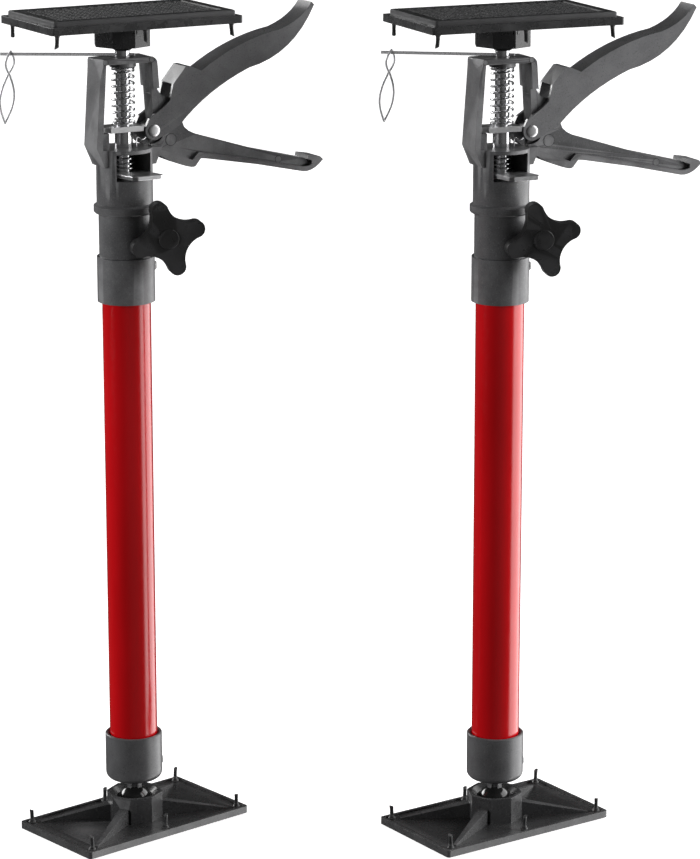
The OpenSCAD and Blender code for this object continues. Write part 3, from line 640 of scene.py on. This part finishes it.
def rivet(prefix):
    """Rivet through the lever and the lug, with a low domed head at each end."""
    shank, radius = 9.0, 2.5
    b = bmesh.new()
    place = Matrix.Translation((PIVOT[0] * MM, 0, PIVOT[1] * MM)) @ Matrix.Rotation(math.radians(90), 4, "X")
    head = [(3.9, 0), (3.95, 0.25), (3.75, 0.6), (3.3, 0.82), (2.3, 0.93), (1.2, 0.98), (0, 1.0)]
    profile = [(r, -shank - z) for r, z in reversed(head)] + [(radius, -shank), (radius, shank)]
    profile += [(r, shank + z) for r, z in head]
    lathe(b, [(r * MM, z * MM) for r, z in profile], place, 48)
    piece("rivet", b, prefix, "head", "zinc_steel", "lever_pin", sharp=50)


# Round moulding marks on the head, as X, height, radius and Y of their rim, in the prop's own frame, in mm.
MARKS = ((31, 467.2, 3.9, -6.15), (110.4, 447.8, 2.3, -6.15), (-16.7, 521, 1.8, -9.7), (16.3, 521, 1.8, -9.7))


def mould_marks(prefix):
    """Fine dark rims of the round moulding marks on the handle's web and on the bridge."""
    b = bmesh.new()
    for x, z, radius, y in MARKS:
        turns = [2 * math.pi * k / 40 for k in range(40)]
        tube(b, [Vector((x + radius * math.cos(a), y, z + radius * math.sin(a))) * MM for a in turns],
             0.15 * MM, 8, True)
    piece("mould_marks", b, prefix, "head", "black_plastic", finish="black_gloss")


# ---------------------------------------------------------------- CAD nodes: rounded edges and finish

# Edge radius in mm, for the nodes whose edges are rounded.
ROUNDING = {
    "base_plate": 0.45, "foot_cap": 0.4, "outer_tube": 0.2, "clamp_collar": 0.5, "clamp_nut": 0.3, "knob": 1.5,
    "housing": 0.5, "push_rod": 0.3, "drive_plate": 0.35, "brake_plate": 0.5, "lever": 0.6, "top_plate": 0.45,
    "clamp_stud": 0.3, "lock_pin": 0.25, "tube_screws": 0.15,
}


WELD = 0.00001     # metres between vertices that count as one
FLAT_ANGLE = 0.5   # degrees between faces that count as one
EDGE_ANGLE = 32    # degrees from which an edge is rounded


def finish_nodes():
    """Materials, welded meshes, rounded edges and even shading for the CAD nodes that are still shown."""
    slots = {s["node"]: s["material_slot"] for s in frame["record"]["subparts"]}
    for name, obj in NODES.items():
        if obj.hide_render:
            continue
        plain = name.replace("second_", "")
        obj.data.materials.clear()
        obj.data.materials.append(MATERIALS[FINISH.get(plain, slots[name])])
        obj.data.polygons.foreach_set("use_smooth", [True] * len(obj.data.polygons))
        weld = obj.modifiers.new("weld", "WELD")
        weld.merge_threshold = WELD
        if plain in ROUNDING:
            flat = obj.modifiers.new("flat", "DECIMATE")
            flat.decimate_type = "DISSOLVE"
            flat.angle_limit = math.radians(FLAT_ANGLE)
            bevel = obj.modifiers.new("rounding", "BEVEL")
            bevel.width = ROUNDING[plain] * MM
            bevel.segments = 3
            bevel.limit_method = "ANGLE"
            bevel.angle_limit = math.radians(EDGE_ANGLE)
            bevel.harden_normals = False
            bevel.miter_outer = "MITER_ARC"
        normals = obj.modifiers.new("normals", "WEIGHTED_NORMAL")
        normals.keep_sharp = True


# ---------------------------------------------------------------- the scene

add_camera()
add_world()
LIGHT_SIZE, LIGHT_POWER = (0.7, 1.0), 28
add_light("key_light", 80, 0.6, 1.6, LIGHT_SIZE, LIGHT_POWER)
add_light("fill_light", -74, 0.5, 1.8, LIGHT_SIZE, LIGHT_POWER)
add_floor()

BASE_YAW = 11.3        # turn of the base plate about the tube, in degrees
for prop in PROPS:
    base = Matrix.Translation((0, 0, FOOT_PROUD)) @ Matrix.Rotation(math.radians(BASE_YAW), 4, "Z")
    pad(prop, "base_tread", "base", "base_pad", FOOT_PROUD, base)
    pad_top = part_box(prop + "top_pad")[1].z
    top = Matrix.Translation((0, 0, pad_top - TOP_PROUD)) @ Matrix.Rotation(math.pi, 4, "X")
    pad(prop, "top_tread", "top", "top_pad", TOP_PROUD, top)
    spring = coil(prop, "drive_coil", "drive_spring", 0.00065, 8)
    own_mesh(spring)
    coil(prop, "brake_coil", "brake_spring", 0.0006, 2.5)
    return_spring(prop)
    wire_clip(prop)
    rivet(prop)
    mould_marks(prop)
finish_nodes()

bpy.context.scene.view_settings.view_transform = "Standard"

bpy.context.view_layer.update()
